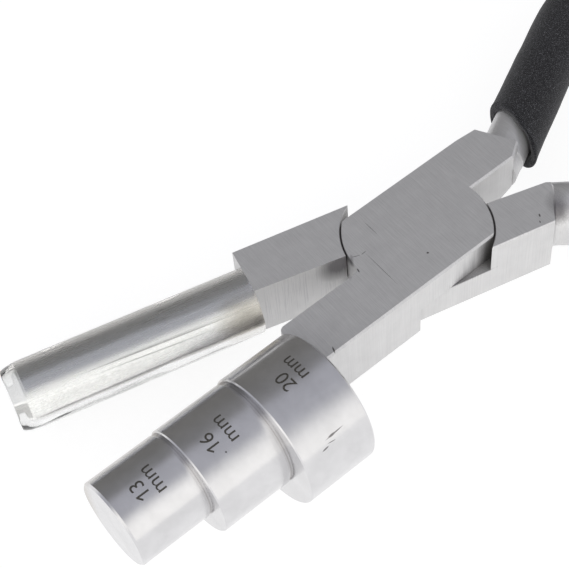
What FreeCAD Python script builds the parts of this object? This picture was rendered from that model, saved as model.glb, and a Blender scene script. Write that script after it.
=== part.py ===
import FreeCAD, Part
import math
import os

import Sketcher

# Wire wrapping pliers, in millimetres.
# The pivot axis is Z, the joint's underside is z = 0, the jaws point to -X and the handles to +X.
# Each half is drawn with its jaw axis along -X, and is then turned about the pivot to its place.

# Driving dimensions: cell name, number, what it is.
SIZES = [
    ("joint_depth", 9.84, "thickness of the lap joint, top face to underside"),
    ("mid_height", 4.92, "height of the plane where the two halves of the joint meet"),
    ("upper_start", 4.94, "height where the upper half of the joint starts"),
    ("stepped_boss_rad", 10.84, "radius of the stepped half's round joint boss"),
    ("plain_relief_rad", 10.95, "radius of the hollow that it turns in"),
    ("plain_boss_rad", 10.42, "radius of the plain half's round joint boss"),
    ("stepped_relief_rad", 10.53, "radius of the hollow that it turns in"),
    ("spread_angle", 7.33, "turn of each half away from the closed place"),
    ("stepped_break", 0.3, "chamfer along the stepped lever's upper edges"),
    ("plain_break", 0.2, "chamfer along the plain lever's upper edge"),
    ("small_break", 0.3, "chamfer at rims"),
    ("step_break", 0.18, "chamfer at the front rims of the 16 mm and 20 mm steps"),
    ("corner_round", 1.0, "rounding of the stepped lever's upright corners"),
    ("upper_depth", 4.9, "thickness of the upper half of the joint"),
    ("block_start", 2.0, "inner end of the arm, jaw and handle blocks"),
    ("front_start", -6.0, "inner end of the arm and the jaw block"),
    # Stepped half
    ("stepped_flat_low", -8.02, "flat on the boss, on the arm's side"),
    ("stepped_flat_high", 8.4, "flat on the boss, on the handle's side"),
    ("arm_end", -25.62, "end of the arm, where the barrel is welded on"),
    ("arm_outer", -8.02, "outer side of the arm"),
    ("arm_inner", 0.1, "inner side of the arm"),
    ("step_length", 11.1, "length of one step"),
    ("step_body", 10.65, "length of one step without its relief line"),
    ("step_small_rad", 6.5, "radius of the 13 mm step"),
    ("step_middle_rad", 8.0, "radius of the 16 mm step"),
    ("step_large_rad", 10.0, "radius of the 20 mm step"),
    ("step_small_y", -6.1, "axis of the 13 mm step, so that it touches the inner line"),
    ("step_middle_y", -7.6, "axis of the 16 mm step, so that it touches the inner line"),
    ("step_large_y", -9.6, "axis of the 20 mm step, so that it touches the inner line"),
    ("step_small_face", -58.92, "tip of the 13 mm step"),
    ("step_middle_face", -47.82, "tip of the 16 mm step"),
    ("step_large_face", -36.72, "tip of the 20 mm step"),
    ("root_small_rad", 6.28, "radius of the relief line of the 13 mm step"),
    ("root_middle_rad", 7.78, "radius of the relief line of the 16 mm step"),
    ("spigot_rad", 3.0, "radius of the spigots that carry the barrel and the rod"),
    ("arm_axis", -3.85, "axis of the barrel's spigot, near the middle of the arm"),
    ("jaw_axis", -4.9, "axis of the rod's spigot, in the middle of the jaw block"),
    ("spigot_depth", 8.0, "length of the spigots"),
    # Plain half, drawn turned over about X, so that its jaw is also at -Y and its boss on top
    ("plain_flat_low", -8.7, "flat on the boss, on the jaw's side"),
    ("plain_flat_high", 7.95, "flat on the boss, on the handle's side"),
    ("jaw_end", -24.87, "end face of the jaw block"),
    ("jaw_outer", -8.7, "outer side of the jaw block at its end"),
    ("jaw_outer_root", -8.7, "outer side of the jaw block at the joint"),
    ("jaw_inner", -1.1, "inner side of the jaw block at its end"),
    ("jaw_inner_root", -0.4, "inner side of the jaw block at the joint"),
    ("rod_y", -3.31, "axis of the round jaw"),
    ("rod_rad", 4.0, "radius of the steel rod"),
    ("rod_face", -59.1, "tip of the steel rod"),
    ("rod_length", 34.23, "length of the steel rod outside the jaw block"),
    ("sleeve_rad", 4.9, "outer radius of the clear sleeve"),
    ("sleeve_bore_rad", 4.05, "inner radius of the clear sleeve"),
    ("sleeve_face", -61.0, "tip of the clear sleeve"),
    ("sleeve_length", 36.13, "length of the clear sleeve"),
    # Handle blocks, necks and tangs, alike on both halves
    ("stepped_inner", 0.4, "inner side of the stepped half's handle block at the joint"),
    ("stepped_bend_x", 19.57, "where that side turns along the handle, along the jaw axis"),
    ("stepped_bend_y", 0.4, "the same place, across it"),
    ("stepped_core_inner", 2.56, "end of that side, across the jaw axis"),
    ("plain_inner", -0.03, "inner side of the plain half's handle block at the joint"),
    ("plain_bend_x", 20.3, "where that side turns along the handle, along the jaw axis"),
    ("plain_bend_y", 1.08, "the same place, across it"),
    ("plain_core_inner", 2.36, "end of that side, across the jaw axis"),
    ("stepped_outer", 8.4, "outer side of the stepped half's handle block"),
    ("plain_outer", 7.95, "outer side of the plain half's handle block"),
    ("stepped_corner_x", 15.6, "outer corner of the stepped half's handle block"),
    ("plain_corner_x", 18.3, "outer corner of the plain half's handle block"),
    ("neck_inner_x", 22.9, "end of the neck's core, inner side, along the jaw axis"),
    ("neck_outer_x", 20.2, "end of the neck's core, outer side, along the jaw axis"),
    ("stepped_core_outer", 8.03, "end of the stepped half's core, outer side, across it"),
    ("plain_core_outer", 8.6, "end of the plain half's core, outer side, across it"),
    ("taper_start", 13.0, "where the stepped half's underside starts to rise to its neck"),
    ("taper_end", 24.0, "where that rise ends"),
    ("taper_height", 5.18, "height of the rise at its end"),
    ("underside", 0.0, "height of the underside"),
    ("taper_depth", 12.0, "reach of the cut under the neck"),
    ("tang_x", 2.49, "point that the tang's straight axis runs through, along the jaw axis"),
    ("tang_y", -5.06, "the same point, across it"),
    ("tang_angle", 26.2, "slope of the tang's straight part"),
    ("tang_axis", 0.0, "the tang's own axis, in the profiles turned about it"),
    ("tang_rad", 3.22, "radius of the round tang"),
    ("stepped_shoulder", 20.8, "shoulder of the stepped half's block, from that point"),
    ("plain_shoulder", 19.4, "shoulder of the plain half's block, from that point"),
    ("stepped_hollow_rad", 0.7, "radius of the hollow between the stepped half's shoulder and neck"),
    ("plain_hollow_rad", 1.3, "radius of the hollow between the plain half's shoulder and neck"),
    ("stepped_core_rad", 3.45, "radius of the stepped half's neck, in the hollow"),
    ("plain_core_rad", 4.3, "radius of the plain half's neck, in the hollow"),
    ("cutter_rad", 12.0, "reach of the shoulder's cut"),
    ("cutter_end", 27.0, "end of the shoulder's cut"),
    ("stepped_nose_rad", 2.1, "radius of the stepped half's neck where it leaves the block's core"),
    ("plain_nose_rad", 2.4, "radius of the plain half's neck where it leaves the block's core"),
    ("tang_start", 18.0, "start of the tang, inside its neck"),
    ("neck_end_rad", 2.9, "radius of either neck where it has run out into the tang"),
    ("stepped_neck_x", 2.4, "point that the stepped half's neck is turned about, along the jaw axis"),
    ("stepped_neck_y", -4.88, "the same point, across it"),
    ("stepped_neck_start", 17.7, "start of the stepped half's neck, from that point"),
    ("stepped_neck_full", 20.9, "where that neck is full"),
    ("stepped_neck_rad", 3.5, "its radius there"),
    ("stepped_crest", 28.6, "its end under the grip"),
    ("stepped_crest_rad", 3.5, "its radius there"),
    ("stepped_neck_end", 29.6, "where that neck has run out into the tang"),
    ("plain_neck_x", 2.69, "point that the plain half's neck is turned about, along the jaw axis"),
    ("plain_neck_y", -5.46, "the same point, across it"),
    ("plain_neck_start", 15.0, "start of the plain half's stout neck"),
    ("plain_neck_full", 18.8, "where that neck is full"),
    ("plain_neck_rad", 4.6, "its radius there"),
    ("plain_crest", 22.4, "its crest"),
    ("plain_crest_rad", 4.66, "its radius at the crest"),
    ("plain_neck_end", 26.8, "where that neck has run out into the tang"),
    ("bend_start", 40.0, "start of the handle's bow"),
    ("bend_rad", 60.0, "radius of the handle's bow"),
    ("bend_turn", 28.2, "turn of the bow, back towards the middle"),
    ("tail_start", 0.0, "start of the straight part behind the bow"),
    ("tang_tail", 43.0, "length of the straight part behind the bow"),
    ("grip_tail", 44.0, "length of the grip's straight part behind the bow"),
    ("grip_rad", 4.74, "outer radius of the foam grip"),
    ("mouth_rad", 3.8, "radius of the wider mouth of either grip"),
    ("stepped_mouth_end", 30.4, "where the stepped half's grip narrows to the tang"),
    ("plain_mouth_end", 34.6, "where the plain half's grip narrows to the tang"),
    ("stepped_grip_start", 21.8, "start of the stepped half's grip, before its mouth is cut"),
    ("plain_grip_start", 26.0, "start of the plain half's grip, before its mouth is cut"),
    ("mouth_low", -7.0, "inner side of the slanted cut at a grip's mouth"),
    ("mouth_high", 7.0, "outer side of the slanted cut at a grip's mouth"),
    ("mouth_front", 12.0, "front end of the slanted cut"),
    ("stepped_mouth_low", 20.65, "mouth of the stepped half's grip on its inner side"),
    ("stepped_mouth_high", 30.83, "mouth of the stepped half's grip on its outer side"),
    ("plain_mouth_low", 24.9, "mouth of the plain half's grip on its inner side"),
    ("plain_mouth_high", 35.1, "mouth of the plain half's grip on its outer side"),
    ("mouth_floor", -3.0, "height where the slanted cut starts"),
    ("mouth_height", 16.0, "height of the slanted cut"),
    # Rivet
    ("rivet_rad", 3.0, "radius of the rivet"),
    ("rivet_hole_rad", 3.04, "radius of the hole that turns on the rivet"),
    ("rivet_foot", 0.0, "height of the rivet's head, ground flush with the underside"),
    ("head_rad", 4.4, "radius of the countersunk head"),
    ("head_depth", 1.46, "height where the head's cone ends"),
    ("sink_axis", 0.0, "the pivot axis, in the profiles turned about it"),
    ("sink_rad", 4.5, "radius of the sink at the underside"),
    ("sink_start", 8.4, "where the sink starts, from the top face"),
    ("sink_top", 9.84, "where the sink ends, from the top face"),
]

VALUES = {name: number for name, number, note in SIZES}


def make_sheet(doc):
    """Write every driving dimension into a spreadsheet, one named cell each."""
    sheet = doc.addObject("Spreadsheet::Sheet", "sizes")
    for row, (name, number, note) in enumerate(SIZES, start=1):
        sheet.set("A%d" % row, name)
        sheet.set("B%d" % row, "%g" % number)
        sheet.setAlias("B%d" % row, name)
        sheet.set("C%d" % row, note)
    doc.recompute()
    return sheet


def cell(name):
    return "sizes." + name


# The handle's line, seen from above: its direction before and after the bow, the bow's centre, the bow's end.
AT_BLOCK = "(sizes.tang_angle * 1 deg)"
AT_TAIL = "((sizes.tang_angle - sizes.bend_turn) * 1 deg)"
BOW_X = "sizes.tang_x + sizes.bend_start * cos%s + sizes.bend_rad * sin%s" % (AT_BLOCK, AT_BLOCK)
BOW_Y = "sizes.tang_y + sizes.bend_start * sin%s - sizes.bend_rad * cos%s" % (AT_BLOCK, AT_BLOCK)
TAIL_X = BOW_X + " - sizes.bend_rad * sin" + AT_TAIL
TAIL_Y = BOW_Y + " + sizes.bend_rad * cos" + AT_TAIL


def new_body(doc, label):
    body = doc.addObject("PartDesign::Body", label)
    body.Label = label
    return body


def new_sketch(body, name, role, lift=None):
    """A sketch on one of the body's own origin planes, moved along its normal by a named size."""
    plane = [feature for feature in body.Origin.OriginFeatures if feature.Role == role][0]
    sketch = body.newObject("Sketcher::SketchObject", name)
    sketch.AttachmentSupport = (plane, [""])
    sketch.MapMode = "FlatFace"
    if lift:
        sketch.setExpression(".AttachmentOffset.Base.z", cell(lift))
    return sketch


def bind(sketch, kind, targets, name):
    """Add a constraint whose value follows a named cell."""
    index = sketch.addConstraint(Sketcher.Constraint(kind, *targets, VALUES[name]))
    label = "%s_%d" % (name, index)
    sketch.renameConstraint(index, label)
    sketch.setExpression("Constraints." + label, cell(name))


def draw_polygon(sketch, corners):
    """A closed outline through corners given as pairs of cell names."""
    points = [FreeCAD.Vector(VALUES[across], VALUES[up], 0) for across, up in corners]
    count = len(points)
    for index in range(count):
        sketch.addGeometry(Part.LineSegment(points[index], points[(index + 1) % count]), False)
    for index in range(count):
        sketch.addConstraint(Sketcher.Constraint("Coincident", index, 2, (index + 1) % count, 1))
    for index, (across, up) in enumerate(corners):
        bind(sketch, "DistanceX", (-1, 1, index, 1), across)
        bind(sketch, "DistanceY", (-1, 1, index, 1), up)


def draw_circle(sketch, radius, across=None, up=None):
    """A circle whose radius and centre follow named cells."""
    centre = FreeCAD.Vector(VALUES[across] if across else 0, VALUES[up] if up else 0, 0)
    index = sketch.addGeometry(Part.Circle(centre, FreeCAD.Vector(0, 0, 1), VALUES[radius]), False)
    if across:
        bind(sketch, "DistanceX", (-1, 1, index, 3), across)
        bind(sketch, "DistanceY", (-1, 1, index, 3), up)
    else:
        sketch.addConstraint(Sketcher.Constraint("Coincident", index, 3, -1, 1))
    bind(sketch, "Radius", (index,), radius)


def draw_boss(sketch, rad, low, high):
    """A disc about the pivot with two parallel flats."""
    radius = VALUES[rad]
    start = math.asin(VALUES[low] / radius)
    stop = math.asin(VALUES[high] / radius)
    circle = Part.Circle(FreeCAD.Vector(0, 0, 0), FreeCAD.Vector(0, 0, 1), radius)
    right = Part.ArcOfCircle(circle, start, stop)
    left = Part.ArcOfCircle(circle, math.pi - stop, math.pi - start)
    sketch.addGeometry(right, False)
    sketch.addGeometry(Part.LineSegment(right.EndPoint, left.StartPoint), False)
    sketch.addGeometry(left, False)
    sketch.addGeometry(Part.LineSegment(left.EndPoint, right.StartPoint), False)
    for index in range(4):
        sketch.addConstraint(Sketcher.Constraint("Coincident", index, 2, (index + 1) % 4, 1))
    for index in (0, 2):
        sketch.addConstraint(Sketcher.Constraint("Coincident", index, 3, -1, 1))
    for index in (1, 3):
        sketch.addConstraint(Sketcher.Constraint("Horizontal", index))
    bind(sketch, "Radius", (0,), rad)
    bind(sketch, "DistanceY", (-1, 1, 1, 1), high)
    bind(sketch, "DistanceY", (-1, 1, 3, 1), low)


def pad(body, sketch, name, length, reverse=False):
    feature = body.newObject("PartDesign::Pad", name)
    feature.Profile = sketch
    feature.setExpression("Length", cell(length))
    feature.Reversed = reverse
    sketch.Visibility = False
    return feature


def cut(body, sketch, name, length, reverse=False):
    """A pocket that has to take material away."""
    before = body.Shape.Volume
    feature = body.newObject("PartDesign::Pocket", name)
    feature.Profile = sketch
    feature.setExpression("Length", cell(length))
    feature.Reversed = reverse
    sketch.Visibility = False
    body.Document.recompute()
    if body.Shape.Volume >= before:
        raise RuntimeError(name + " cuts nothing")
    return feature


def add_boss(body, half):
    sketch = new_sketch(body, body.Label + "_boss_outline", "XY_Plane", "upper_start")
    draw_boss(sketch, half + "_boss_rad", half + "_flat_low", half + "_flat_high")
    pad(body, sketch, body.Label + "_boss", "upper_depth")


def add_handle_block(body, half):
    sketch = new_sketch(body, body.Label + "_block_outline", "XY_Plane")
    draw_polygon(sketch, [
        ("block_start", half + "_inner"),
        (half + "_bend_x", half + "_bend_y"),
        ("neck_inner_x", half + "_core_inner"),
        ("neck_outer_x", half + "_core_outer"),
        (half + "_corner_x", half + "_outer"),
        ("block_start", half + "_outer"),
    ])
    pad(body, sketch, body.Label + "_block", "joint_depth")


def clear_other_boss(body, half):
    """Hollow the lower half of the joint, where the other lever's boss turns."""
    sketch = new_sketch(body, body.Label + "_relief_outline", "XY_Plane")
    draw_circle(sketch, half + "_relief_rad")
    cut(body, sketch, body.Label + "_relief", "upper_start", True)


def stand_along(sketch, across, upwards, turn):
    """Set an upright sketch on the handle's line, its first axis along the handle."""
    sketch.AttachmentOffset = FreeCAD.Placement(FreeCAD.Vector(), FreeCAD.Rotation(FreeCAD.Vector(0, 1, 0), 10))
    sketch.setExpression(".AttachmentOffset.Rotation.Angle", turn)
    sketch.setExpression(".AttachmentOffset.Base.x", across)
    sketch.setExpression(".AttachmentOffset.Base.y", cell("mid_height"))
    sketch.setExpression(".AttachmentOffset.Base.z", "-(" + upwards + ")")


def stand_across(sketch, along, upwards, turn):
    """Set an upright sketch on the handle's line, its first axis across the handle."""
    stand_along(sketch, upwards, "-(" + along + ")", turn)


def lie_along(sketch, lift):
    """Turn a level sketch so that its first axis runs along the tang."""
    sketch.AttachmentOffset = FreeCAD.Placement(FreeCAD.Vector(), FreeCAD.Rotation(FreeCAD.Vector(0, 0, 1), 10))
    sketch.setExpression(".AttachmentOffset.Rotation.Angle", AT_BLOCK)
    sketch.setExpression(".AttachmentOffset.Base.x", cell("tang_x"))
    sketch.setExpression(".AttachmentOffset.Base.y", cell("tang_y"))
    sketch.setExpression(".AttachmentOffset.Base.z", cell(lift))


def turn_profile(body, sketch, name, axis, angle="360", reverse=False):
    """Turn a profile about one of its sketch's own axes."""
    turned = body.newObject("PartDesign::Revolution", name)
    turned.Profile = sketch
    turned.ReferenceAxis = (sketch, [axis])
    turned.setExpression("Angle", angle)
    turned.Reversed = reverse
    sketch.Visibility = False
    body.Document.recompute()
    return turned


def turn_cut(body, sketch, name, axis):
    """Turn a profile about one of its sketch's own axes and take it away."""
    before = body.Shape.Volume
    groove = body.newObject("PartDesign::Groove", name)
    groove.Profile = sketch
    groove.ReferenceAxis = (sketch, [axis])
    groove.Angle = 360
    sketch.Visibility = False
    body.Document.recompute()
    if body.Shape.Volume >= before:
        raise RuntimeError(name + " cuts nothing")


def shape_neck(body, half):
    """Turn the end of the handle block down to the neck's core, leaving a hollow shoulder."""
    sketch = new_sketch(body, body.Label + "_shoulder_profile", "XZ_Plane")
    stand_along(sketch, cell(half + "_neck_x"), cell(half + "_neck_y"), AT_BLOCK)
    draw_neck_cutter(sketch, half + "_shoulder", half + "_core_rad", half + "_hollow_rad")
    turn_cut(body, sketch, body.Label + "_shoulder", "H_Axis")


def draw_neck_cutter(sketch, shoulder, core, hollow):
    """The profile outside the neck: shoulder, quarter round hollow, and the core's side."""
    start = VALUES[shoulder]
    radius = VALUES[hollow]
    low = VALUES[core]
    top = VALUES["cutter_rad"]
    end = VALUES["cutter_end"]
    centre = FreeCAD.Vector(start + radius, low + radius, 0)
    corners = [
        FreeCAD.Vector(start + radius, low, 0),
        FreeCAD.Vector(end, low, 0),
        FreeCAD.Vector(end, top, 0),
        FreeCAD.Vector(start, top, 0),
        FreeCAD.Vector(start, low + radius, 0),
    ]
    circle = Part.Circle(centre, FreeCAD.Vector(0, 0, 1), radius)
    sketch.addGeometry(Part.ArcOfCircle(circle, math.pi, 1.5 * math.pi), False)
    for begin, finish in zip(corners, corners[1:]):
        sketch.addGeometry(Part.LineSegment(begin, finish), False)
    for index in range(5):
        sketch.addConstraint(Sketcher.Constraint("Coincident", index, 2, (index + 1) % 5, 1))
    for index in (1, 3):
        sketch.addConstraint(Sketcher.Constraint("Horizontal", index))
    for index in (2, 4):
        sketch.addConstraint(Sketcher.Constraint("Vertical", index))
    sketch.addConstraint(Sketcher.Constraint("Vertical", 0, 2, 0, 3))
    sketch.addConstraint(Sketcher.Constraint("Horizontal", 0, 1, 0, 3))
    bind(sketch, "Radius", (0,), hollow)
    bind(sketch, "DistanceX", (-1, 1, 4, 1), shoulder)
    bind(sketch, "DistanceY", (-1, 1, 1, 1), core)
    bind(sketch, "DistanceY", (-1, 1, 3, 1), "cutter_rad")
    bind(sketch, "DistanceX", (-1, 1, 2, 1), "cutter_end")


def add_straight(body, name, corners, line="tang"):
    """Turn an outline about the handle's straight part next to the block."""
    sketch = new_sketch(body, name + "_profile", "XZ_Plane")
    stand_along(sketch, cell(line + "_x"), cell(line + "_y"), AT_BLOCK)
    draw_polygon(sketch, corners)
    turn_profile(body, sketch, name, "H_Axis")


def add_bow(body, name, radii):
    """Swing one or two circles about the bow's centre."""
    sketch = new_sketch(body, name + "_section", "YZ_Plane")
    stand_across(sketch, BOW_X, BOW_Y, AT_BLOCK)
    for radius in radii:
        draw_circle(sketch, radius, "bend_rad", "tang_axis")
    turn_profile(body, sketch, name, "V_Axis", cell("bend_turn"), True)


def add_tail(body, name, inner, outer, length):
    """Turn the straight part behind the bow."""
    sketch = new_sketch(body, name + "_profile", "XZ_Plane")
    stand_along(sketch, TAIL_X, TAIL_Y, AT_TAIL)
    draw_polygon(sketch, [("tail_start", inner), (length, inner), (length, outer), ("tail_start", outer)])
    turn_profile(body, sketch, name, "H_Axis")


def add_tang(body, half):
    """The neck that swells out of the block's core, and the round tang under the grip."""
    add_straight(body, body.Label + "_neck", [
        (half + "_neck_start", "tang_axis"),
        (half + "_neck_end", "tang_axis"),
        (half + "_neck_end", "neck_end_rad"),
        (half + "_crest", half + "_crest_rad"),
        (half + "_neck_full", half + "_neck_rad"),
        (half + "_neck_start", half + "_nose_rad"),
    ], half + "_neck")
    add_straight(body, body.Label + "_tang", [
        ("tang_start", "tang_axis"),
        ("bend_start", "tang_axis"),
        ("bend_start", "tang_rad"),
        ("tang_start", "tang_rad"),
    ])
    add_bow(body, body.Label + "_tang_bow", ["tang_rad"])
    add_tail(body, body.Label + "_tang_tail", "tang_axis", "tang_rad", "tang_tail")


def bore_spigot(body, across, face):
    """A blind round hole in the end face of the arm or the jaw block."""
    sketch = new_sketch(body, body.Label + "_socket_outline", "YZ_Plane", face)
    draw_circle(sketch, "spigot_rad", across, "mid_height")
    cut(body, sketch, body.Label + "_socket", "spigot_depth", True)


def bore_pivot(body, radius):
    sketch = new_sketch(body, body.Label + "_pivot_outline", "XY_Plane")
    draw_circle(sketch, radius)
    cut(body, sketch, body.Label + "_pivot_hole", "joint_depth", True)


def level_edges(shape, height, front, back, low, high):
    """Names of the straight edges at a named height inside a named field, without square ends."""
    names = []
    for index, edge in enumerate(shape.Edges, start=1):
        box = edge.BoundBox
        level = edge.Curve.TypeId == "Part::GeomLine" and box.ZMax - box.ZMin < 0.01
        along = box.XMin > VALUES[front] - 0.1 and box.XMax < VALUES[back] + 0.1
        across = box.YMin > VALUES[low] - 0.1 and box.YMax < VALUES[high] + 0.1
        if not level or not along or not across or box.XMax - box.XMin < 0.01:
            continue
        if abs(box.ZMin - VALUES[height]) < 0.01:
            names.append("Edge%d" % index)
    return names


def upright_edges(shape, corners):
    """Names of the upright edges that stand on the given corners."""
    names = []
    for index, edge in enumerate(shape.Edges, start=1):
        box = edge.BoundBox
        if edge.Curve.TypeId != "Part::GeomLine" or box.ZMax - box.ZMin < 1:
            continue
        for across, up in corners:
            if abs(box.XMin - across) + abs(box.XMax - across) + abs(box.YMin - up) + abs(box.YMax - up) < 0.05:
                names.append("Edge%d" % index)
    return names


def rim_edges(shape, place, radius):
    """Names of the circles of a named radius across the jaw axis at a named place."""
    names = []
    for index, edge in enumerate(shape.Edges, start=1):
        box = edge.BoundBox
        if edge.Curve.TypeId != "Part::GeomCircle" or box.XMax - box.XMin > 0.01:
            continue
        if abs(box.XMin - VALUES[place]) < 0.01 and abs(edge.Curve.Radius - VALUES[radius]) < 0.001:
            names.append("Edge%d" % index)
    return names


def bevel(body, name, edges, size):
    dress(body, "PartDesign::Chamfer", name, edges, "Size", size)


def fillet(body, name, edges, radius):
    dress(body, "PartDesign::Fillet", name, edges, "Radius", radius)


def dress(body, kind, name, edges, dimension, size):
    """A chamfer or fillet that has to change the body."""
    before = body.Shape.Volume
    base = body.Tip
    feature = body.newObject(kind, name)
    feature.Base = (base, edges)
    feature.setExpression(dimension, cell(size))
    body.Document.recompute()
    if abs(body.Shape.Volume - before) < 0.001:
        raise RuntimeError(name + " changes nothing")


def make_stepped_lever(doc):
    """Upper lever: arm for the barrel, boss in the upper half of the joint, handle block and tang."""
    body = new_body(doc, "stepped_lever")
    add_boss(body, "stepped")
    sketch = new_sketch(body, "arm_outline", "XY_Plane")
    draw_polygon(sketch, [
        ("arm_end", "arm_outer"),
        ("front_start", "arm_outer"),
        ("front_start", "arm_inner"),
        ("arm_end", "arm_inner"),
    ])
    pad(body, sketch, "arm", "joint_depth")
    add_handle_block(body, "stepped")
    doc.recompute()
    clear_other_boss(body, "stepped")
    round_stepped_corners(body)
    sides = level_edges(body.Shape, "joint_depth", "arm_end", "neck_inner_x", "arm_outer", "arm_outer")
    sides += level_edges(
        body.Shape, "joint_depth", "block_start", "neck_inner_x", "stepped_inner", "stepped_core_inner"
    )
    bevel(body, "stepped_breaks", sides, "stepped_break")
    rise_to_neck(body)
    shape_neck(body, "stepped")
    bore_spigot(body, "arm_axis", "arm_end")
    bore_pivot(body, "rivet_rad")
    add_tang(body, "stepped")
    return body


def rise_to_neck(body):
    """Cut the stepped half's underside away, so that it rises to the neck."""
    sketch = new_sketch(body, "taper_outline", "XZ_Plane")
    draw_polygon(sketch, [
        ("taper_start", "underside"),
        ("taper_end", "underside"),
        ("taper_end", "taper_height"),
    ])
    cut(body, sketch, "taper", "taper_depth")


def round_stepped_corners(body):
    """Round the boss's corner over the jaws, the arm's inner root and the arm's inner end."""
    radius = VALUES["stepped_boss_rad"]
    corners = []
    for height in ("stepped_flat_high", "arm_inner"):
        corners.append((-math.sqrt(radius ** 2 - VALUES[height] ** 2), VALUES[height]))
    corners.append((VALUES["arm_end"], VALUES["arm_inner"]))
    fillet(body, "stepped_rounds", upright_edges(body.Shape, corners), "corner_round")


def make_plain_lever(doc):
    """Lower lever, drawn turned over: jaw block for the rod, boss, handle block and tang."""
    body = new_body(doc, "plain_lever")
    add_boss(body, "plain")
    sketch = new_sketch(body, "jaw_outline", "XY_Plane")
    draw_polygon(sketch, [
        ("jaw_end", "jaw_outer"),
        ("front_start", "jaw_outer_root"),
        ("front_start", "jaw_inner_root"),
        ("jaw_end", "jaw_inner"),
    ])
    pad(body, sketch, "jaw_block", "joint_depth")
    add_handle_block(body, "plain")
    doc.recompute()
    clear_other_boss(body, "plain")
    sides = level_edges(body.Shape, "underside", "front_start", "neck_outer_x", "plain_outer", "plain_core_outer")
    bevel(body, "plain_breaks", sides, "plain_break")
    shape_neck(body, "plain")
    bore_spigot(body, "jaw_axis", "jaw_end")
    bore_pivot(body, "rivet_hole_rad")
    sink_rivet_head(body)
    add_tang(body, "plain")
    return body


def sink_rivet_head(body):
    """Countersink the pivot hole at the joint's underside, which is this half's drawn top."""
    sketch = new_sketch(body, "sink_profile", "XZ_Plane")
    draw_polygon(sketch, [
        ("rivet_hole_rad", "sink_start"),
        ("sink_rad", "sink_top"),
        ("sink_axis", "sink_top"),
        ("sink_axis", "sink_start"),
    ])
    turn_cut(body, sketch, "rivet_sink", "V_Axis")


def add_cylinder(body, name, radius, length, across, place):
    """A round bar along the jaw axis."""
    sketch = new_sketch(body, name + "_outline", "YZ_Plane", place)
    draw_circle(sketch, radius, across, "mid_height")
    pad(body, sketch, name, length)


def make_stepped_barrel(doc):
    """Three eccentric steps that touch one inner line, with a relief line at each foot."""
    body = new_body(doc, "stepped_barrel")
    add_cylinder(body, "small_step", "step_small_rad", "step_body", "step_small_y", "step_small_face")
    add_cylinder(body, "small_root", "root_small_rad", "step_length", "step_small_y", "step_small_face")
    add_cylinder(body, "middle_step", "step_middle_rad", "step_body", "step_middle_y", "step_middle_face")
    add_cylinder(body, "middle_root", "root_middle_rad", "step_length", "step_middle_y", "step_middle_face")
    add_cylinder(body, "large_step", "step_large_rad", "step_length", "step_large_y", "step_large_face")
    doc.recompute()
    add_cylinder(body, "barrel_spigot", "spigot_rad", "spigot_depth", "arm_axis", "arm_end")
    doc.recompute()
    bevel(body, "tip_rim", rim_edges(body.Shape, "step_small_face", "step_small_rad"), "small_break")
    bevel(body, "middle_rim", rim_edges(body.Shape, "step_middle_face", "step_middle_rad"), "step_break")
    bevel(body, "large_rim", rim_edges(body.Shape, "step_large_face", "step_large_rad"), "step_break")
    bevel(body, "back_rim", rim_edges(body.Shape, "arm_end", "step_large_rad"), "small_break")
    return body


def make_round_jaw(doc):
    """The plain half's steel rod, with the spigot that holds it in the jaw block."""
    body = new_body(doc, "round_jaw")
    add_cylinder(body, "rod", "rod_rad", "rod_length", "rod_y", "rod_face")
    add_cylinder(body, "rod_spigot", "spigot_rad", "spigot_depth", "jaw_axis", "jaw_end")
    doc.recompute()
    bevel(body, "rod_rim", rim_edges(body.Shape, "rod_face", "rod_rad"), "small_break")
    return body


def make_jaw_sleeve(doc):
    """The clear tube over the rod."""
    body = new_body(doc, "jaw_sleeve")
    sketch = new_sketch(body, "sleeve_outline", "YZ_Plane", "sleeve_face")
    draw_circle(sketch, "sleeve_rad", "rod_y", "mid_height")
    draw_circle(sketch, "sleeve_bore_rad", "rod_y", "mid_height")
    pad(body, sketch, "sleeve_tube", "sleeve_length")
    doc.recompute()
    bevel(body, "sleeve_rim", rim_edges(body.Shape, "sleeve_face", "sleeve_rad"), "small_break")
    return body


def make_rivet(doc):
    """The pivot: a pin through both halves with a countersunk head in the underside."""
    body = new_body(doc, "pivot_rivet")
    sketch = new_sketch(body, "rivet_profile", "XZ_Plane")
    draw_polygon(sketch, [
        ("sink_axis", "rivet_foot"),
        ("head_rad", "rivet_foot"),
        ("rivet_rad", "head_depth"),
        ("rivet_rad", "joint_depth"),
        ("sink_axis", "joint_depth"),
    ])
    turn_profile(body, sketch, "rivet", "V_Axis")
    return body


def make_grip(doc, half):
    """A foam tube over the tang, cut on the slant at its mouth."""
    body = new_body(doc, half + "_grip")
    add_straight(body, half + "_grip_front", [
        (half + "_grip_start", "mouth_rad"),
        (half + "_mouth_end", "mouth_rad"),
        (half + "_mouth_end", "tang_rad"),
        ("bend_start", "tang_rad"),
        ("bend_start", "grip_rad"),
        (half + "_grip_start", "grip_rad"),
    ])
    add_bow(body, half + "_grip_bow", ["grip_rad", "tang_rad"])
    add_tail(body, half + "_grip_tail", "tang_rad", "grip_rad", "grip_tail")
    sketch = new_sketch(body, half + "_mouth_outline", "XY_Plane")
    lie_along(sketch, "mouth_floor")
    draw_polygon(sketch, [
        ("mouth_front", "mouth_low"),
        (half + "_mouth_low", "mouth_low"),
        (half + "_mouth_high", "mouth_high"),
        ("mouth_front", "mouth_high"),
    ])
    cut(body, sketch, half + "_mouth", "mouth_height", True)
    return body


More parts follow.
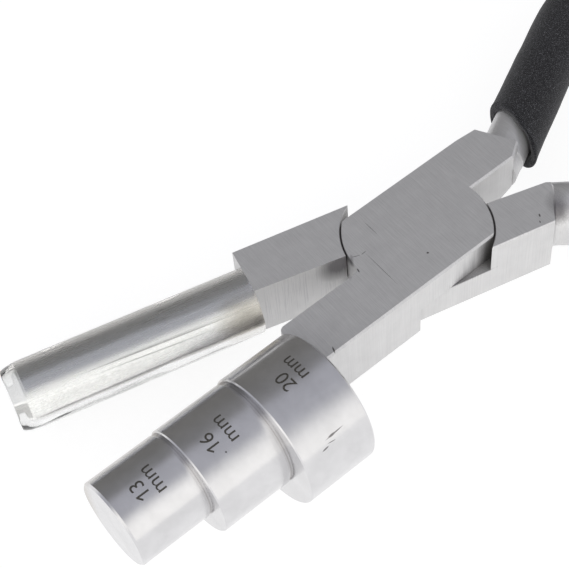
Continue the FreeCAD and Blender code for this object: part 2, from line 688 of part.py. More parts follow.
def place(body, turned_over):
    """Turn a piece of one half to its place at rest; the plain half is also turned over."""
    spread = VALUES["spread_angle"]
    if not turned_over:
        body.Placement = FreeCAD.Placement(FreeCAD.Vector(0, 0, 0), FreeCAD.Rotation(spread, 0, 0))
        return
    over = FreeCAD.Placement(
        FreeCAD.Vector(0, 0, VALUES["joint_depth"]), FreeCAD.Rotation(FreeCAD.Vector(1, 0, 0), 180)
    )
    swing = FreeCAD.Placement(FreeCAD.Vector(0, 0, 0), FreeCAD.Rotation(-spread, 0, 0))
    body.Placement = swing.multiply(over)


def make_document():
    doc = FreeCAD.newDocument("pliers")
    make_sheet(doc)
    for body in (make_stepped_lever(doc), make_stepped_barrel(doc), make_grip(doc, "stepped")):
        place(body, False)
    for body in (make_plain_lever(doc), make_round_jaw(doc), make_jaw_sleeve(doc), make_grip(doc, "plain")):
        place(body, True)
    place(make_rivet(doc), False)
    doc.recompute()
    return doc


def check(doc):
    """Stop if any feature failed or any piece is empty or broken."""
    for thing in doc.Objects:
        if "Invalid" in thing.State or "Error" in thing.State:
            raise RuntimeError(thing.Name + " failed: " + " ".join(thing.State))
    for body in doc.findObjects("PartDesign::Body"):
        if body.Shape.isNull() or not body.Shape.isValid():
            raise RuntimeError(body.Label + " has no valid shape")


def write_parts(doc):
    os.makedirs("parts", exist_ok=True)
    for body in doc.findObjects("PartDesign::Body"):
        body.Shape.exportStep(os.path.join("parts", body.Label + ".step"))
        box = body.Shape.BoundBox
        print(body.Label, len(body.Shape.Solids), round(body.Shape.Volume, 1), box)


document = make_document()
check(document)
write_parts(document)
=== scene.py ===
import math

import bmesh
import bpy
from bpy.props import FloatProperty, FloatVectorProperty, PointerProperty
from mathutils import Matrix, Vector, noise


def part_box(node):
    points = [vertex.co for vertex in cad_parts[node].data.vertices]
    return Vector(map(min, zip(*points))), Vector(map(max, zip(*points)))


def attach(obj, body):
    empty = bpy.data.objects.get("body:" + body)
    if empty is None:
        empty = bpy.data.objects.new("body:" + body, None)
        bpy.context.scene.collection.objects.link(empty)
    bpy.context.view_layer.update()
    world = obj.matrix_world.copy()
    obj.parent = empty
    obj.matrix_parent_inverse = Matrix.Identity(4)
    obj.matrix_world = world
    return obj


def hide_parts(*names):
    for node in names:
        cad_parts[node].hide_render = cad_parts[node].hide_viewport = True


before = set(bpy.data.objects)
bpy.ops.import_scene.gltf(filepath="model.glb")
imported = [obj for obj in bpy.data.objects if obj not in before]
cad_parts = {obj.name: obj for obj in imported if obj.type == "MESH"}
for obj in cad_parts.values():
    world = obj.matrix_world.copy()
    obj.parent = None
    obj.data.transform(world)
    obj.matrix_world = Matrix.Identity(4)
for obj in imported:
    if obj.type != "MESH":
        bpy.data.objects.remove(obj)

bl_info = {
    "name": "Wire wrapping pliers",
    "version": (1, 0, 0),
    "blender": (4, 5, 0),
    "location": "View3D > Sidebar > Pliers",
    "description": "Finishes the steel, clear sleeve, etched sizes and foam grips of a pair of pliers",
    "category": "Object",
}

# Lengths are in metres and angles in radians. The spread is half the opening at rest.
MM = 0.001
SPREAD = math.radians(7.33)
JOINT_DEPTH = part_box("stepped_lever")[1].z
MID_HEIGHT = JOINT_DEPTH / 2
FLOOR_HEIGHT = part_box("stepped_barrel")[0].z

# The steps of the barrel, from the tip: number, radius, axis across the jaw, and place of the tip face.
STEPS = (
    ("13", 6.5 * MM, -6.1 * MM, -58.92 * MM),
    ("16", 8.0 * MM, -7.6 * MM, -47.82 * MM),
    ("20", 10.0 * MM, -9.6 * MM, -36.72 * MM),
)

# The etched words: text, step, distance behind its tip face, and turn in degrees about its axis from +Y.
WORDS = (
    ("13", 0, 4.23 * MM, 105.2),
    ("mm", 0, 6.64 * MM, 102.5),
    ("16", 1, 3.55 * MM, 101.5),
    ("mm", 1, 6.47 * MM, 98.2),
    ("20", 2, 4.64 * MM, 90.7),
    ("mm", 2, 7.18 * MM, 85.2),
)
FONT_CAPITAL = 0.7
MARK_LIFT = 0.008 * MM
MARK_CUT = 0.25 * MM

# The outline of a 1 with a long flag, one unit high, for a second figure centred on 0 to its right.
FIGURE_ONE = (
    (-0.59, 0.02), (-0.59, 0.98), (-0.70, 0.98), (-1.03, 0.72), (-0.95, 0.62), (-0.72, 0.80), (-0.72, 0.02),
)
ONE_SHIFT = 0.38

# The rod and its sleeve, in the plain half's own frame. The tip's taper is distance and loss of radius.
ROD_AXIS = -3.31 * MM
ROD_RADIUS = 4.0 * MM
SLEEVE_RADIUS = 4.9 * MM
SLEEVE_FACE = -61.0 * MM
SLEEVE_LENGTH = 36.13 * MM
SLEEVE_TIP = (
    (0.0, 0.62 * MM), (0.25 * MM, 0.45 * MM), (1.0 * MM, 0.24 * MM), (1.8 * MM, 0.09 * MM), (2.6 * MM, 0.0),
)
SLEEVE_AROUND = 240
SLEEVE_ALONG = 150

# The bore clings to the rod but for long patches, which lie away from one direction.
CLINGING_SIDE = math.radians(150)
PATCH_LENGTH = 9 * MM
PATCH_DEPTH = 0.1 * MM
PATCH_SHARE = 0.45
PATCH_SEED = Vector((3.7, 1.2, 5.1))
BORE_TIGHTEST = -0.02 * MM
BORE_LOOSEST = 0.04 * MM

# From the rod's axis to the side that faces the barrel, which gets a painted brighter reflection, and the
# way the normals lean there as on a flat.
BARREL_WARD_SIDE = Vector((0, -0.816, -0.578))
FLAT_FACING = Vector((0, -0.695, 0.719))

# Marks, streaks, a painted shadow line and patches of painted shade: place in mm, turn in degrees from the
# jaw's line, and half sizes in mm.
STEPPED_MARKS_AND_SHADE = {
    "marks": (
        ((-8.06, -2.90, 9.84), -93.0, (4.2, 0.035, 0.5)),
        ((-9.75, 1.12, 9.84), -26.0, (0.76, 0.05, 0.5)),
        ((-8.49, 0.98, 9.84), 4.0, (0.55, 0.05, 0.5)),
        ((-5.19, 4.09, 9.84), -92.6, (1.67, 0.04, 0.5)),
        ((-21.06, -10.22, 9.84), -111.7, (0.62, 0.14, 0.6)),
        ((-10.87, -1.15, 9.84), -105.5, (0.45, 0.12, 0.5)),
        ((-1.24, -4.23, 9.84), -29.0, (0.22, 0.18, 0.5)),
    ),
    # Painted shade: a soft patch on the boss's bevel, and the notch's wall darkened.
    "shaded_patches": (((-11.4, -0.03, 9.84), -133.0, (2.2, 0.45, 1.0)),),
    "shaded_walls": (((10.0, -8.0, 3.0), 3.6, (13.5, 2.6, 8.0)),),
    "streaks": ((-24.0, -14.0, 5.0), 0.0, (3.0, 3.0, 5.0)),
    # Radius of the painted shadow line along the joint's round edge.
    "rim": 10.79 * MM,
}
PLAIN_MARKS_AND_SHADE = {
    "marks": (
        ((15.48, -7.97, 9.84), -106.0, (0.36, 0.14, 0.5)),
        ((14.79, -8.93, 9.84), -104.0, (0.26, 0.10, 0.5)),
    ),
    # Painted shade: soft patches on the neck, on the ledge of the lap joint, and on the jaw block's wall
    # near the joint.
    "shaded_patches": (
        ((18.9, -7.6, 8.6), -118.7, (3.2, 2.3, 1.7)),
        ((-1.5, -9.0, 5.03), 0.0, (9.0, 4.5, 0.4)),
    ),
    "shaded_walls": (((-12.0, 2.1, 8.4), 1.4, (3.4, 1.5, 3.2)),),
    "streaks": ((-18.5, 3.8, 5.5), 1.4, (12.0, 2.5, 7.0)),
    # Radius of the painted shadow line along the joint's round edge.
    "rim": 10.98 * MM,
}
BARREL_MARKS = (
    ((-28.45, -21.49, 10.81), 2.4, (1.70, 0.07, 1.0)),
    ((-28.88, -21.55, 10.80), 1.7, (0.75, 0.13, 1.0)),
    ((-29.23, -22.03, 10.15), -4.2, (0.75, 0.04, 1.0)),
    ((-30.38, -22.35, 9.86), 3.7, (0.65, 0.07, 1.0)),
    ((-41.61, -16.64, 12.06), 0.0, (0.16, 0.16, 0.5)),
)
# A painted dark reflection of the jaw block on the sleeve, near the jaw end.
SLEEVE_REFLECTION_PATCH = ((-26.3, 3.19, 6.4), 0.0, (5.5, 3.6, 4.6))
SLEEVE_SEAM = ((-39.2, 5.07, 8.56), -1.1, (13.0, 0.1, 2.0))

# Where painted shade darkens the corners and gaps of the lap joint, and where a painted shadow line along
# its round edge shows.
JOINT = ((-1.0, 0, 5), 0, (12.2, 12.2, 100))
RIM_ARCS = (
    ((-9.9, 4.4, 9.84), 0.0, (3.4, 5.0, 2.0)),
    ((9.4, -5.2, 9.84), 0.0, (3.0, 5.0, 2.0)),
)

# Grinding lines run across both levers at one angle.
LINES_TURN = math.radians(4.4)

# Each of these colours multiplies the colour under it. The joint's colour, the patch colour and the
# barrel's corner colour are painted shade; the mark colour also paints a shadow line along the joint's
# edge; the sleeve's colour at the jaw end paints a dark reflection of the jaw block; the others are
# streaks, browning, scratches, tints and the seam's shade.
JOINT_SHADE_COLOUR = (0.3, 0.29, 0.28, 1)
MARKS_AND_SHADOW_LINE = (0.16, 0.15, 0.15, 1)
PAINTED_SHADE = (0.34, 0.33, 0.34, 1)
STREAK_STAIN = (0.8, 0.8, 0.81, 1)
BARREL_BROWN = (0.84, 0.81, 0.77, 1)
BARREL_CORNER_SHADE = (0.55, 0.53, 0.51, 1)
BARREL_SCRATCH = (0.3, 0.29, 0.29, 1)
SLEEVE_WARM = (0.96, 0.93, 0.89, 1)
SLEEVE_JAW_REFLECTION = (0.78, 0.76, 0.725, 1)
SEAM_SHADE = (0.3, 0.3, 0.3, 1)

# Lighter colours for the rod's side facing the barrel: a painted brighter reflection.
REFLECTION_LIFT_DARK = (0.78, 0.78, 0.775, 1)
REFLECTION_LIFT_LIGHT = (0.99, 0.99, 0.985, 1)
PLASTIC_MILKY = (0.97, 0.975, 0.97, 1)
PLASTIC_CLEAR = (1, 1, 1, 1)
PLASTIC_IOR = 1.49
FOAM_SPECK = (0.23, 0.23, 0.25, 1)

# The handle's line in one half's own frame: straight, one bow, and straight again.
TANG_POINT = Vector((2.49 * MM, -5.06 * MM, 0))
TANG_ANGLE = math.radians(26.2)
TANG_RADIUS = 3.22 * MM
BEND_START = 40.0 * MM
BEND_RADIUS = 60.0 * MM
BEND_TURN = math.radians(28.2)

# The foam on it: where it starts, its section, its slanted mouth and its rounded end. The bore's wall is
# made only as deep as can be seen from either end, because the tang fills the rest.
GRIP_STARTS = {"stepped_grip": 25.74 * MM, "plain_grip": 30.0 * MM}
GRIP_RADIUS = 4.74 * MM
GRIP_BORE = TANG_RADIUS + 0.02 * MM
GRIP_TAIL = 44.0 * MM
GRIP_BEHIND = BEND_RADIUS * BEND_TURN + GRIP_TAIL
GRIP_AROUND = 96
RING_STEP = 0.7 * MM
MOUTH_RADIUS = 3.72 * MM
MOUTH_DEPTH = 4.2 * MM
MOUTH_SHOULDER = 0.4 * MM
MOUTH_CHAMFER = (0.3 * MM, 0.2 * MM)
MOUTH_SLANT = 0.727
SLANT_REACH = 12 * MM
RIM_ROUND = 0.45 * MM
RIM_STEPS = 5
FLARE_REACH = 1.5 * MM
END_ROUND = 1.2 * MM
END_STEPS = 6
SKIN_SHORTER = 1.575 * MM
BORE_FROM_MOUTH = 6.0 * MM
BORE_FROM_END = 3.0 * MM

# Along the handle, the skin leaves its line outwards over the first reach and comes back over the second.
SKIN_STAND_OFF = 1.3 * MM
SKIN_LEAVES = (42 * MM, 56 * MM)
SKIN_RETURNS = (62 * MM, 80 * MM)

# Waves of the foam's skin and of its cut rim: size of a wave, and its height.
SKIN_WAVE = (5 * MM, 0.05 * MM)
SKIN_GRAIN = (0.9 * MM, 0.02 * MM)
RIM_WAVE = (1.6 * MM, 0.22 * MM)
RIM_DEPTH = 1.0 * MM

# The camera, fitted to the photograph: direction, tilt, roll, distance and what it looks at.
CAMERA_AZIMUTH = math.radians(-27.47)
CAMERA_ELEVATION = math.radians(53.025)
CAMERA_ROLL = math.radians(-6.477)
CAMERA_DISTANCE = 212.17 * MM
CAMERA_TARGET = Vector((-18.79 * MM, 6.14 * MM, MID_HEIGHT))
FOCAL_PIXELS = 1487.5
IMAGE_WIDTH = 569
SENSOR_WIDTH = 36.0
CLIP_START = 1 * MM
CLIP_END = 10

# The room's colour by share of the way from in front of the object to the wall behind it.
BACK_WALL = Vector((0.46, 0.89, 0))
ROOM = (
    (0.18, (1.0, 0.992, 0.972, 1)),
    (0.40, (0.375, 0.38, 0.415, 1)),
    (0.62, (0.37, 0.375, 0.41, 1)),
    (0.77, (0.185, 0.185, 0.19, 1)),
    (1.0, (0.15, 0.147, 0.142, 1)),
)
WHITE = (1, 1, 1, 1)

# The floor reaches far in front of the object and ends a little behind it.
FLOOR_REACH = 3.0
FLOOR_BEHIND = 0.11
FLOOR_GAP = 0.02 * MM
FLOOR_GLOW = 1.18
GLOW_SHARE = 0.75


def half_matrix(turned_over):
    """From one half's own frame, its jaw along -X, to its place at rest."""
    if not turned_over:
        return Matrix.Rotation(SPREAD, 4, "Z")
    over = Matrix.Translation((0, 0, JOINT_DEPTH)) @ Matrix.Rotation(math.pi, 4, "X")
    return Matrix.Rotation(-SPREAD, 4, "Z") @ over


STEPPED_HALF = half_matrix(False)
PLAIN_HALF = half_matrix(True)


class PLIERS_PG_steel(bpy.types.PropertyGroup):
    """Colours of the steel."""

    lever_color: FloatVectorProperty(
        name="Lever steel", description="Colour of the ground levers", subtype="COLOR",
        size=4, min=0, max=1, default=(0.735, 0.73, 0.73, 1))
    barrel_color: FloatVectorProperty(
        name="Barrel steel", description="Colour of the turned barrel", subtype="COLOR",
        size=4, min=0, max=1, default=(0.705, 0.70, 0.71, 1))
    rod_color: FloatVectorProperty(
        name="Rod steel", description="Colour of the polished rod", subtype="COLOR",
        size=4, min=0, max=1, default=(0.74, 0.74, 0.74, 1))
    scratch_depth: FloatProperty(
        name="Scratch depth", description="Depth of the grinding lines", subtype="DISTANCE",
        unit="LENGTH", min=0, default=0.004 * MM, precision=6)


class PLIERS_PG_marks(bpy.types.PropertyGroup):
    """Sizes of the etched numbers."""

    letter_height: FloatProperty(
        name="Letter height", description="Height of a capital in an etched mark",
        subtype="DISTANCE", unit="LENGTH", min=0, default=1.98 * MM, precision=5)
    ink_color: FloatVectorProperty(
        name="Etching", description="Colour of the etched numbers", subtype="COLOR",
        size=4, min=0, max=1, default=(0.058, 0.054, 0.047, 1))


class PLIERS_PG_grips(bpy.types.PropertyGroup):
    """Sizes and colours of the foam grips."""

    foam_color: FloatVectorProperty(
        name="Foam", description="Colour of the foam", subtype="COLOR",
        size=4, min=0, max=1, default=(0.004, 0.004, 0.006, 1))
    rim_flare: FloatProperty(
        name="Rim flare", description="How far the grip's cut rim stands out",
        subtype="DISTANCE", unit="LENGTH", min=0, default=0.14 * MM, precision=5)


class PLIERS_PG_stage(bpy.types.PropertyGroup):
    """Light and floor."""

    floor_color: FloatVectorProperty(
        name="Floor", description="Colour of the floor", subtype="COLOR",
        size=4, min=0, max=1, default=(0.93, 0.93, 0.93, 1))
    sky_strength: FloatProperty(
        name="Sky", description="Strength of the light from all around", min=0, default=1.29)


# Shader helpers. Each takes the material, or the world, whose nodes it adds to.


def new_material(name):
    """A material with one Principled shader, and that shader."""
    material = bpy.data.materials.new(name)
    material.use_nodes = True
    return material, material.node_tree.nodes["Principled BSDF"]


def add_node(owner, kind, **values):
    """A shader node whose plain properties are set from the keywords."""
    node = owner.node_tree.nodes.new(kind)
    for name, value in values.items():
        setattr(node, name, value)
    return node


def link(owner, source, target):
    """Carry an output into an input."""
    owner.node_tree.links.new(source, target)


def stretched_noise(material, scale, turn, detail, rough):
    """Noise on Object coordinates, turned and stretched so that it makes streaks."""
    place = add_node(material, "ShaderNodeTexCoord")
    mapping = add_node(material, "ShaderNodeMapping", vector_type="TEXTURE")
    mapping.inputs["Rotation"].default_value = (0, 0, turn)
    mapping.inputs["Scale"].default_value = scale
    texture = add_node(material, "ShaderNodeTexNoise")
    texture.inputs["Scale"].default_value = 1.0
    texture.inputs["Detail"].default_value = detail
    texture.inputs["Roughness"].default_value = rough
    link(material, place.outputs["Object"], mapping.inputs["Vector"])
    link(material, mapping.outputs["Vector"], texture.inputs["Vector"])
    return texture.outputs["Fac"]


def ramp(material, source, low, high, low_value, high_value):
    """Map one range of a value onto another, held at its ends."""
    node = add_node(material, "ShaderNodeMapRange")
    node.inputs["From Min"].default_value = low
    node.inputs["From Max"].default_value = high
    node.inputs["To Min"].default_value = low_value
    node.inputs["To Max"].default_value = high_value
    link(material, source, node.inputs["Value"])
    return node.outputs["Result"]


def mix_value(material, factor, first, second):
    """Blend two values by a third."""
    node = add_node(material, "ShaderNodeMix", data_type="FLOAT")
    link(material, factor, node.inputs[0])
    link(material, first, node.inputs[2])
    link(material, second, node.inputs[3])
    return node.outputs[0]


def product(material, first, second):
    """One value times another."""
    node = add_node(material, "ShaderNodeMath", operation="MULTIPLY")
    link(material, first, node.inputs[0])
    link(material, second, node.inputs[1])
    return node.outputs[0]


def add_values(material, first, second):
    """One value plus another."""
    node = add_node(material, "ShaderNodeMath", operation="ADD")
    link(material, first, node.inputs[0])
    link(material, second, node.inputs[1])
    return node.outputs[0]


def tint(material, factor, dark, light):
    """A colour that runs from dark to light with a value."""
    node = add_node(material, "ShaderNodeMix", data_type="RGBA")
    node.inputs[6].default_value = dark
    node.inputs[7].default_value = light
    link(material, factor, node.inputs[0])
    return node.outputs[2]


def shaded(color, factor):
    """A colour made darker or lighter, with its alpha kept."""
    return tuple(min(1, part * factor) for part in color[:3]) + (1,)


def bump(material, shader, height, distance, strength):
    """Relief from a height; the node is returned, so that it can start from another normal."""
    node = add_node(material, "ShaderNodeBump")
    node.inputs["Distance"].default_value = distance
    node.inputs["Strength"].default_value = strength
    link(material, height, node.inputs["Height"])
    link(material, node.outputs["Normal"], shader.inputs["Normal"])
    return node


def brushed(material, shader, direction, amount):
    """Spread reflections along a direction fixed to the piece, as fine parallel lines do."""
    turn = add_node(material, "ShaderNodeVectorTransform", convert_from="OBJECT", convert_to="WORLD")
    turn.inputs["Vector"].default_value = direction
    link(material, turn.outputs["Vector"], shader.inputs["Tangent"])
    shader.inputs["Anisotropic"].default_value = amount


def facing_up(material):
    """1 on faces that look up or down, 0 on upright walls."""
    geometry = add_node(material, "ShaderNodeNewGeometry")
    parts = add_node(material, "ShaderNodeSeparateXYZ")
    size = add_node(material, "ShaderNodeMath", operation="ABSOLUTE")
    link(material, geometry.outputs["True Normal"], parts.inputs["Vector"])
    link(material, parts.outputs["Z"], size.inputs[0])
    return ramp(material, size.outputs[0], 0.4, 0.6, 0.0, 1.0)


def own_place(material, turn, scale=(1, 1, 1), location=(0, 0, 0)):
    """Object coordinates read in a turned and scaled frame of the piece's own."""
    place = add_node(material, "ShaderNodeTexCoord")
    mapping = add_node(material, "ShaderNodeMapping", vector_type="TEXTURE")
    mapping.inputs["Location"].default_value = location
    mapping.inputs["Rotation"].default_value = (0, 0, turn)
    mapping.inputs["Scale"].default_value = scale
    link(material, place.outputs["Object"], mapping.inputs["Vector"])
    return mapping.outputs["Vector"]


def along_axis(material, turn, axis):
    """One coordinate of the piece's own frame."""
    parts = add_node(material, "ShaderNodeSeparateXYZ")
    link(material, own_place(material, turn), parts.inputs["Vector"])
    return parts.outputs[axis]


def distance_in(material, mark, angle):
    """Distance from a mark's middle, 1 at its edge."""
    location, turn, size = mark
    location, size = [MM * part for part in location], [MM * part for part in size]
    reach = add_node(material, "ShaderNodeVectorMath", operation="LENGTH")
    link(material, own_place(material, angle + math.radians(turn), size, location), reach.inputs[0])
    return reach.outputs["Value"]


def spot(material, mark, angle):
    """1 inside a small mark, 0 outside."""
    return ramp(material, distance_in(material, mark, angle), 0.55, 1.0, 1.0, 0.0)


def soft_patch(material, mark, angle, lines):
    """A soft patch that breaks up along the grinding lines; it carries painted shade, streaks and a painted
    reflection.
    """
    broken = add_node(material, "ShaderNodeMath", operation="ADD")
    link(material, distance_in(material, mark, angle), broken.inputs[0])
    link(material, lines, broken.inputs[1])
    return ramp(material, broken.outputs[0], 0.9, 1.6, 1.0, 0.0)


def largest(material, values):
    """The largest of some values."""
    result = values[0]
    for value in values[1:]:
        node = add_node(material, "ShaderNodeMath", operation="MAXIMUM")
        link(material, result, node.inputs[0])
        link(material, value, node.inputs[1])
        result = node.outputs[0]
    return result


def overlaid(material, colour, factor, overlay):
    """A colour multiplied by another colour where the factor is 1; this lays both stains and painted shade.
    """
    node = add_node(material, "ShaderNodeMix", data_type="RGBA", blend_type="MULTIPLY")
    node.inputs[7].default_value = overlay
    link(material, factor, node.inputs[0])
    link(material, colour, node.inputs[6])
    return node.outputs[2]


def corners(material, reach, low, high):
    """1 deep in corners and gaps, where painted shade goes, 0 on open faces; read from ambient occlusion.
    """
    open_sky = add_node(material, "ShaderNodeAmbientOcclusion", samples=6)
    open_sky.inputs["Distance"].default_value = reach
    return ramp(material, open_sky.outputs["AO"], low, high, 1.0, 0.0)


def rim_line(material, rim):
    """1 on a thin painted shadow line along the joint's round edge, where it shows."""
    reach = add_node(material, "ShaderNodeVectorMath", operation="LENGTH")
    link(material, own_place(material, 0, (1, 1, 1000)), reach.inputs[0])
    off = add_node(material, "ShaderNodeMath", operation="SUBTRACT")
    off.inputs[1].default_value = rim
    link(material, reach.outputs["Value"], off.inputs[0])
    size = add_node(material, "ShaderNodeMath", operation="ABSOLUTE")
    link(material, off.outputs[0], size.inputs[0])
    ring = ramp(material, size.outputs[0], 0.03 * MM, 0.10 * MM, 1.0, 0.0)
    return product(material, ring, largest(material, [spot(material, mark, 0) for mark in RIM_ARCS]))


def grinding(material, angle):
    """Lines across the flats and upright on the walls, the walls' own lines, and the deepest of those."""
    flat_lines = stretched_noise(material, (0.14 * MM, 4 * MM, 1 * MM), LINES_TURN, 4.0, 0.65)
    wall_lines = stretched_noise(material, (0.17 * MM, 0.17 * MM, 9 * MM), angle, 4.0, 0.6)
    deep_lines = ramp(material, wall_lines, 0.52, 0.6, 0.0, 1.0)
    wall_lines = ramp(material, wall_lines, 0.0, 1.0, 0.25, 0.75)
    return mix_value(material, facing_up(material), wall_lines, flat_lines), wall_lines, deep_lines


def joint_shaded(material, colour):
    """A lever's colour with painted shade in the corners and gaps of the lap joint."""
    # Painted shade: corners and gaps in the lap joint are darkened by ambient occlusion.
    in_joint = ramp(material, distance_in(material, JOINT, 0), 0.92, 1.0, 1.0, 0.0)
    joint_shade = product(material, corners(material, 2.5 * MM, 0.2, 0.65), in_joint)
    return overlaid(material, colour, joint_shade, JOINT_SHADE_COLOUR)


def worn_and_shaded(material, colour, angle, wall_lines, deep_lines, traces):
    """A lever's colour with its small marks, a painted shadow line along the joint's edge, soft patches of
    painted shade, and streaks down one wall.
    """
    spots = [spot(material, mark, angle) for mark in traces["marks"]]
    # The line along the joint's round edge is a painted shadow; the other spots are marks.
    spots.append(rim_line(material, traces["rim"]))
    colour = overlaid(material, colour, largest(material, spots), MARKS_AND_SHADOW_LINE)
    on_walls = ramp(material, facing_up(material), 0.0, 1.0, 1.0, 0.0)
    # Painted shade: soft darker patches on some walls and faces.
    walls = [soft_patch(material, mark, angle, wall_lines) for mark in traces["shaded_walls"]]
    shade_layers = [soft_patch(material, mark, angle, wall_lines) for mark in traces["shaded_patches"]]
    shade_layers.append(product(material, largest(material, walls), on_walls))
    colour = overlaid(material, colour, largest(material, shade_layers), PAINTED_SHADE)
    streaks = product(material, soft_patch(material, traces["streaks"], angle, wall_lines), deep_lines)
    return overlaid(material, colour, product(material, streaks, on_walls), STREAK_STAIN)


def ground_steel(name, angle, color, depth, traces):
    """Steel ground across its faces and upright on its walls, clouded, with painted shade in the joint and
    on some patches, and marked.
    """
    material, shader = new_material(name)
    lines, wall_lines, deep_lines = grinding(material, angle)
    clouds = stretched_noise(material, (3 * MM, 2 * MM, 3 * MM), angle, 5.0, 0.6)
    both = add_values(material, lines, ramp(material, clouds, 0.0, 1.0, 0.3, 0.7))
    share = ramp(material, both, 0.7, 1.3, 0.0, 1.0)
    colour = tint(material, share, shaded(color, 0.86), shaded(color, 1.12))
    colour = worn_and_shaded(material, joint_shaded(material, colour), angle, wall_lines, deep_lines, traces)
    link(material, colour, shader.inputs["Base Color"])
    link(material, ramp(material, both, 0.7, 1.3, 0.46, 0.38), shader.inputs["Roughness"])
    shader.inputs["Metallic"].default_value = 0.6
    bump(material, shader, lines, depth, 0.6)
    return material


def turned_steel(name, color, depth):
    """Satin turned steel, browned along its inner side, with painted shade where its steps meet and a few
    scratches.
    """
    material, shader = new_material(name)
    rings = stretched_noise(material, (0.16 * MM, 8 * MM, 8 * MM), SPREAD, 3.0, 0.5)
    clouds = stretched_noise(material, (3 * MM, 3 * MM, 3 * MM), 0, 5.0, 0.6)
    both = add_values(material, rings, clouds)
    share = ramp(material, clouds, 0.3, 0.7, 0.0, 1.0)
    colour = tint(material, share, shaded(color, 0.93), shaded(color, 1.05))
    brown = ramp(material, along_axis(material, SPREAD, "Y"), -2.6 * MM, -0.6 * MM, 0.0, 1.0)
    colour = overlaid(material, colour, brown, BARREL_BROWN)
    # Painted shade: darker where the steps meet, read from ambient occlusion.
    colour = overlaid(material, colour, corners(material, 0.5 * MM, 0.2, 0.7), BARREL_CORNER_SHADE)
    spots = [spot(material, mark, SPREAD) for mark in BARREL_MARKS]
    colour = overlaid(material, colour, largest(material, spots), BARREL_SCRATCH)
    link(material, colour, shader.inputs["Base Color"])
    link(material, ramp(material, both, 0.7, 1.3, 0.2, 0.24), shader.inputs["Roughness"])
    shader.inputs["Metallic"].default_value = 1.0
    brushed(material, shader, (math.cos(SPREAD), math.sin(SPREAD), 0), 0.4)
    bump(material, shader, both, depth, 0.12)
    return material


def towards_barrel(material, reach):
    """How far round the rod or its sleeve a point lies towards the other jaw, from -1 to 1."""
    side = add_node(material, "ShaderNodeVectorMath", operation="DOT_PRODUCT")
    side.inputs[1].default_value = BARREL_WARD_SIDE / reach
    middle = PLAIN_HALF @ Vector((0, ROD_AXIS, MID_HEIGHT))
    link(material, own_place(material, -SPREAD, location=middle), side.inputs[0])
    return side.outputs["Value"]


def leaning(material, factor, direction):
    """The surface's own normal, drawn towards one direction of the piece where the factor is 1."""
    geometry = add_node(material, "ShaderNodeNewGeometry")
    fixed = add_node(material, "ShaderNodeVectorTransform", vector_type="NORMAL")
    fixed.convert_from = "OBJECT"
    fixed.convert_to = "WORLD"
    fixed.inputs[0].default_value = direction
    both = add_node(material, "ShaderNodeMix", data_type="VECTOR")
    link(material, factor, both.inputs[0])
    link(material, geometry.outputs["Normal"], both.inputs[4])
    link(material, fixed.outputs[0], both.inputs[5])
    length = add_node(material, "ShaderNodeVectorMath", operation="NORMALIZE")
    link(material, both.outputs[1], length.inputs[0])
    return length.outputs[0]


def polished_steel(name, color):
    """The rod: drawn bright bar; on the side of the other jaw its normals lean as on a flat and its colour
    is lighter, a painted brighter reflection.
    """
    material, shader = new_material(name)
    lines = stretched_noise(material, (6 * MM, 0.12 * MM, 0.12 * MM), -SPREAD, 3.0, 0.55)
    grain = stretched_noise(material, (0.5 * MM, 0.25 * MM, 0.25 * MM), -SPREAD, 4.0, 0.65)
    # Painted brighter reflection: the side facing the barrel gets a lighter colour.
    lifted_side = ramp(material, towards_barrel(material, ROD_RADIUS), 0.06, 0.26, 0.0, 1.0)
    bright = tint(material, ramp(material, grain, 0.3, 0.7, 0.0, 1.0), REFLECTION_LIFT_DARK, REFLECTION_LIFT_LIGHT)
    colour = add_node(material, "ShaderNodeMix", data_type="RGBA")
    colour.inputs[6].default_value = color
    link(material, lifted_side, colour.inputs[0])
    link(material, bright, colour.inputs[7])
    link(material, colour.outputs[2], shader.inputs["Base Color"])
    link(material, ramp(material, lines, 0.3, 0.7, 0.25, 0.32), shader.inputs["Roughness"])
    shader.inputs["Metallic"].default_value = 1.0
    relief = bump(material, shader, lines, 0.002 * MM, 0.2)
    fading = ramp(material, towards_barrel(material, ROD_RADIUS), 0.75, 0.95, 0.95, 0.0)
    share = product(material, lifted_side, fading)
    facing = Matrix.Rotation(-SPREAD, 3, "Z") @ FLAT_FACING
    link(material, leaning(material, share, facing), relief.inputs["Normal"])
    return material


def clear_plastic(name):
    """The sleeve: clear and glossy, a little milky on its outer side, with a painted dark reflection of the
    jaw block near that end.
    """
    material, shader = new_material(name)
    side = towards_barrel(material, SLEEVE_RADIUS)
    clouds = stretched_noise(material, (3 * MM, 0.6 * MM, 0.6 * MM), -SPREAD, 3.0, 0.5)
    colour = tint(material, ramp(material, clouds, 0.3, 0.7, 0.0, 1.0), PLASTIC_MILKY, PLASTIC_CLEAR)
    colour = overlaid(material, colour, ramp(material, side, -0.98, -0.8, 1.0, 0.0), SLEEVE_WARM)
    # Painted dark reflection of the jaw block near the sleeve's jaw end.
    colour = overlaid(material, colour, soft_patch(material, SLEEVE_REFLECTION_PATCH, -SPREAD, clouds), SLEEVE_JAW_REFLECTION)
    colour = overlaid(material, colour, spot(material, SLEEVE_SEAM, -SPREAD), SEAM_SHADE)
    link(material, colour, shader.inputs["Base Color"])
    link(material, ramp(material, clouds, 0.3, 0.7, 0.02, 0.06), shader.inputs["Roughness"])
    link(material, ramp(material, side, -1.0, -0.45, 0.9, 0.99), shader.inputs["Transmission Weight"])
    shader.inputs["IOR"].default_value = PLASTIC_IOR
    return material


